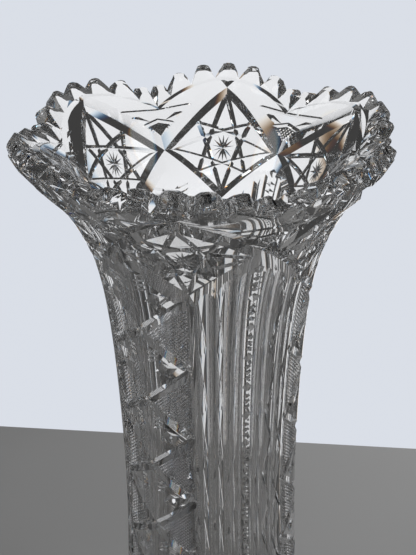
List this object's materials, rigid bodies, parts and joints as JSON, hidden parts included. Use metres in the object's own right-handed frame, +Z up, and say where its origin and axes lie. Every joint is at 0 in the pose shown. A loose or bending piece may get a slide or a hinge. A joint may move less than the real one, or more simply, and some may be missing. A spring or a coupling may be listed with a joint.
{
  "type": "cut crystal vase",
  "caption": "Tall corset-shaped cut crystal vase with a flared, scalloped, saw-toothed rim, star-cut diamonds round the bell and columns of flutes and crossed mitres down the stem.",
  "frame": {"origin": "centre of the foot, on the plane that the vase stands on", "axes": "+Z up along the vase's axis, to the mouth; -Y is the front, through the middle of one scallop and the diamond under it"},
  "size_m": [0.1298, 0.1378, 0.305],
  "materials": {
    "crystal": "polished, wheel-cut lead crystal"
  },
  "bodies": {
    "root": {"foot": "crystal", "shaft": "crystal", "bell": "crystal", "rim": "crystal"}
  },
  "joints": []
}
